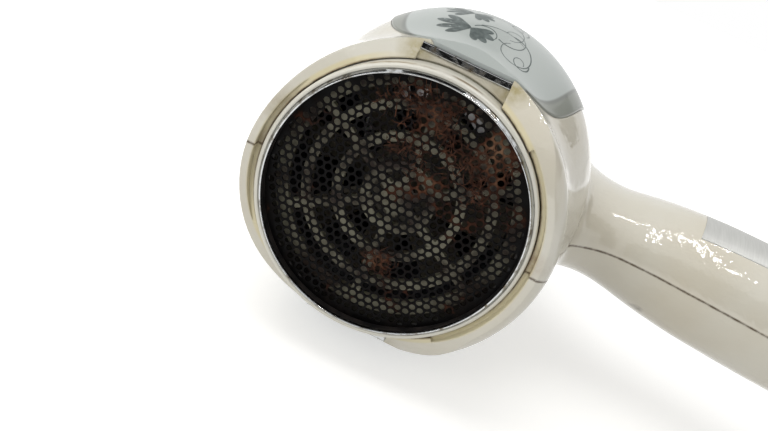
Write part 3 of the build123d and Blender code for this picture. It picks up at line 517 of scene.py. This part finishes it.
# ------------------------------------------------------------------ motor
# Small permanent-magnet motor: drawn steel can, laminated core, copper windings, graphite brushes. It sits
# in the duct's cup on a rubber damper.
# Nickel-plated steel: warm grey metal with fine drawing lines along the can, 0.4 mm apart.
plated = mottled_finish(
    "nickel_plated_drawn_steel", {"Metallic": 1.0}, {"Scale": 2500.0, "Detail": 2.0},
    [(0.0, "8B8A86"), (1.0, "C0BFBA")], roughness=(0.2, 0.4), stretch=(1.0, 0.06, 1.0))
dress(plated, "motor_shaft", "motor_can", "thermostat", "thermal_fuse", "heater_windings", "armature_core")
# Enamelled copper and sintered bronze: reddish metal with an uneven darker skin.
copper = mottled_finish(
    "enamelled_copper", {"Metallic": 1.0, "Roughness": 0.35}, {"Scale": 1500.0, "Detail": 2.0},
    [(0.0, "8A4A2A"), (1.0, "D08A5C")])
dress(copper, "armature_windings", "commutator", "motor_bushes")
# Ferrite, graphite and rubber: near black and matt, with a grain of about 0.8 mm.
graphite, tree, shader, place = new_finish("matt_black_ferrite_and_rubber", {"Roughness": 0.75})
grain = add_node(tree, "ShaderNodeTexNoise", {"Scale": 1200.0, "Detail": 3.0}, [("Vector", place)])
tint = add_node(tree, "ShaderNodeValToRGB", {"stops": [(0.0, "151516"), (1.0, "34353A")]},
                [("Fac", grain.outputs["Fac"])])
tree.links.new(tint.outputs["Color"], shader.inputs["Base Color"])
skin = add_node(tree, "ShaderNodeBump", {"Strength": 0.3, "Distance": 0.05 * MM},
                [("Height", grain.outputs["Fac"])])
tree.links.new(skin.outputs[0], shader.inputs["Normal"])
dress(graphite, "motor_magnets", "motor_brushes", "motor_damper", "cord_gland")

# ------------------------------------------------------------------ heater
# Resistance wire wound on crossed mica boards in a mica tube, with a bimetal thermostat and a fuse. Two
# leads insulated in silicone feed it.
# Laminated mica: brown-grey flakes of about 2 mm with a pearly sheen.
mica, tree, shader, place = new_finish("laminated_mica_sheet", {"Roughness": 0.4, "IOR": 1.56})
flakes = add_node(tree, "ShaderNodeTexVoronoi", {"Scale": 450.0}, [("Vector", place)])
tint = add_node(tree, "ShaderNodeMix", {"data_type": "RGBA", 0: 0.8, 6: colour("9A8468")},
                [(7, flakes.outputs["Color"])])
calm = add_node(tree, "ShaderNodeMix", {"data_type": "RGBA", 0: 0.82, 7: colour("95826A")},
                [(6, tint.outputs[2])])
tree.links.new(calm.outputs[2], shader.inputs["Base Color"])
dress(mica, "heater_sleeve", "mica_board_a", "mica_board_b")
# Phenolic paper board: brown, satin, faintly fibrous.
phenolic = mottled_finish(
    "phenolic_paper_board", {"Roughness": 0.5}, {"Scale": 600.0, "Detail": 3.0},
    [(0.0, "6B4A22"), (1.0, "9A7238")])
dress(phenolic, "rectifier_board")
# Silicone-insulated lead: deep red with a soft sheen.
silicone = mottled_finish(
    "red_silicone_insulation", {"Roughness": 0.5, "IOR": 1.43}, {"Scale": 400.0, "Detail": 2.0},
    [(0.0, "7E1A16"), (1.0, "A83A33")])
dress(silicone, "heater_lead_a", "heater_lead_b")

# ------------------------------------------------------------------ rating plate, left bare
# Thin foil label stuck to the side of the handle. A maker would print the ratings on it, and this one has
# no lettering.
# Brushed aluminium foil: pale grey with fine lines across the handle.
foil = mottled_finish(
    "brushed_aluminium_foil", {"Metallic": 0.3}, {"Scale": 3000.0, "Detail": 2.0},
    [(0.0, "B4B4B0"), (1.0, "CFCFCB")], roughness=(0.35, 0.5), stretch=(1.0, 0.05, 0.05))
dress(foil, "rating_plate")

# ------------------------------------------------------------------ switch plate and cool button
# Plate let into the front of the handle with a slot for the slider and a hole for the sprung button.
# Both are moulded in one grey.
# Grey ABS: cool mid grey, satin, polished where thumbs rub it, in patches of about 8 mm.
grey_abs = mottled_finish(
    "moulded_grey_ABS", {"IOR": 1.53}, {"Scale": 130.0, "Detail": 3.0}, [(0.0, "868C8D"), (1.0, "A0A5A5")],
    roughness=(0.22, 0.45), edge=0.3 * MM)
dress(grey_abs, "switch_plate", "cool_button")

# ------------------------------------------------------------------ floor
# Seamless sheet of matt white paper, 6 m out on each side, just under the dryer's lowest point. It is lit
# evenly and burns out to white away from the dryer.
floor_drop = 0.05 * MM
floor_mesh = bmesh.new()
bmesh.ops.create_grid(floor_mesh, x_segments=1, y_segments=1, size=6.0)
bmesh.ops.translate(floor_mesh, verts=floor_mesh.verts, vec=(0, 0, cad_low.z - floor_drop))


def seen_directly(tree):
    """One for rays from the camera or off a mirror or through glass, nought for those that only light."""
    rays = add_node(tree, "ShaderNodeLightPath", {}).outputs
    seen = add_node(tree, "ShaderNodeMath", {"operation": "MAXIMUM"},
                    [(0, rays["Is Camera Ray"]), (1, rays["Is Glossy Ray"])])
    seen = add_node(tree, "ShaderNodeMath", {"operation": "MAXIMUM"},
                    [(0, seen.outputs[0]), (1, rays["Is Transmission Ray"])])
    return seen.outputs[0]


# Matt paper: near white, with a lift for camera and mirror rays only, so that it reads as white.
paper, tree, shader, place = new_finish("matt_white_paper", {
    "Roughness": 0.9, "Specular IOR Level": 0.1, "Emission Color": (1, 1, 1, 1)})
fibre = add_node(tree, "ShaderNodeTexNoise", {"Scale": 30.0, "Detail": 3.0}, [("Vector", place)])
tint = add_node(tree, "ShaderNodeValToRGB", {"stops": [(0.0, "D9D8D5"), (1.0, "DDDCD9")]},
                [("Fac", fibre.outputs["Fac"])])
tree.links.new(tint.outputs["Color"], shader.inputs["Base Color"])
far_off = add_node(tree, "ShaderNodeVectorMath", {"operation": "LENGTH"}, [(0, place)])
brighter = add_node(tree, "ShaderNodeMapRange", {
    "From Min": 0.15, "From Max": 0.7, "To Min": 0.52, "To Max": 1.0}, [("Value", far_off.outputs["Value"])])
lift = add_node(tree, "ShaderNodeMath", {"operation": "MULTIPLY"},
                [(0, seen_directly(tree)), (1, brighter.outputs[0])])
tree.links.new(lift.outputs[0], shader.inputs["Emission Strength"])
floor = make_piece("floor", floor_mesh, paper)

# ------------------------------------------------------------------ light
# White surroundings, a large soft box overhead, a smaller one beside the camera, two bare tubes, and dark
# cards that only mirrors see.
world = bpy.data.worlds.new("studio")
bpy.context.scene.world = world
world.use_nodes = True
tree = world.node_tree
tree.nodes.clear()
strength = add_node(tree, "ShaderNodeMapRange", {"To Min": 0.52, "To Max": 1.0},
                    [("Value", seen_directly(tree))])
sky = add_node(tree, "ShaderNodeBackground", {"Color": (1, 1, 1, 1)}, [("Strength", strength.outputs[0])])
add_node(tree, "ShaderNodeOutputWorld", {}, [("Surface", sky.outputs[0])])


def hang_lamp(name, place_at, turn, size, power):
    """A rectangular lamp that shines down before it is turned; sizes in metres, power in watts."""
    lamp = bpy.data.lights.new(name, "AREA")
    lamp.shape, lamp.size, lamp.size_y, lamp.energy = "RECTANGLE", size[0], size[1], power
    holder = bpy.data.objects.new(name, lamp)
    bpy.context.scene.collection.objects.link(holder)
    holder.location, holder.rotation_euler = place_at, turn
    return holder


for name, place_at, aim_at, size, power in (
        ("overhead", (-0.25, -0.15, 0.75), (0.02, -0.10, 0.0), (0.6, 0.6), 3.2),
        ("camera_side", (-0.35, -0.7, 0.25), (0.0, -0.12, 0.0), (0.3, 0.4), 1.2)):
    aim = Vector(aim_at) - Vector(place_at)
    box = hang_lamp(name, place_at, aim.to_track_quat("-Z", "Y").to_euler(), size, power)
    # the overhead box would hide the dark cards in the chrome, so mirrors don't see it
    box.visible_glossy = name != "overhead"

# the tubes hang end to end at an angle, draw the sharp glint along the handle and light nothing else
for name, place_at, turn, size, power in (
        ("tube_across", (0.245, -0.09, 0.66), -59.0, (0.006, 0.31), 0.5),
        ("tube_along", (0.115, -0.43, 0.66), 8.6, (0.006, 0.46), 0.75)):
    tube = hang_lamp(name, place_at, (0, 0, math.radians(turn)), size, power)
    tube.visible_diffuse = False

# dark cards by middle, width, height and turn give the chrome its dark streaks
card_mesh = bmesh.new()
for middle, width, height, turn in (((0.0, -0.46, 0.09), 0.5, 0.26, (math.pi / 2, 0, 0)),
                                    ((-0.09, -0.03, 0.45), 0.3, 0.64, (0, 0, 0)),
                                    ((0.37, -0.03, 0.24), 0.16, 0.6, (0, 0.95, 0)),
                                    ((-0.36, -0.03, 0.26), 0.28, 0.6, (0, -0.9, 0)),
                                    ((0.5, -0.4, 0.2), 0.35, 0.3, (0, -1.3, 0))):
    card = bmesh.ops.create_grid(card_mesh, x_segments=1, y_segments=1, size=0.5)["verts"]
    stand = Matrix.LocRotScale(Vector(middle), Euler(turn), Vector((width, height, 1)))
    bmesh.ops.transform(card_mesh, verts=card, matrix=stand)
# Black felt: no sheen at all.
felt = new_finish("black_felt", {"Base Color": colour("0B0B0B"), "Roughness": 1.0})[0]
cards = make_piece("dark_cards", card_mesh, felt)
cards.visible_camera = cards.visible_diffuse = cards.visible_transmission = cards.visible_shadow = False

# ------------------------------------------------------------------ camera
# Stands behind the intake and a little above it, with a lens a little wider than normal, and tilts so that
# the handle runs off to the side and down.
camera = bpy.data.objects.new("camera", bpy.data.cameras.new("camera"))
bpy.context.scene.collection.objects.link(camera)
camera.data.lens, camera.data.sensor_width = 37.36, 36.0
camera.location = (0.0063, -0.3287, 0.0734)
camera.rotation_euler = [math.radians(angle) for angle in (65.66, -23.054, 12.314)]
bpy.context.scene.camera = camera
bpy.context.scene.view_settings.view_transform = "Standard"
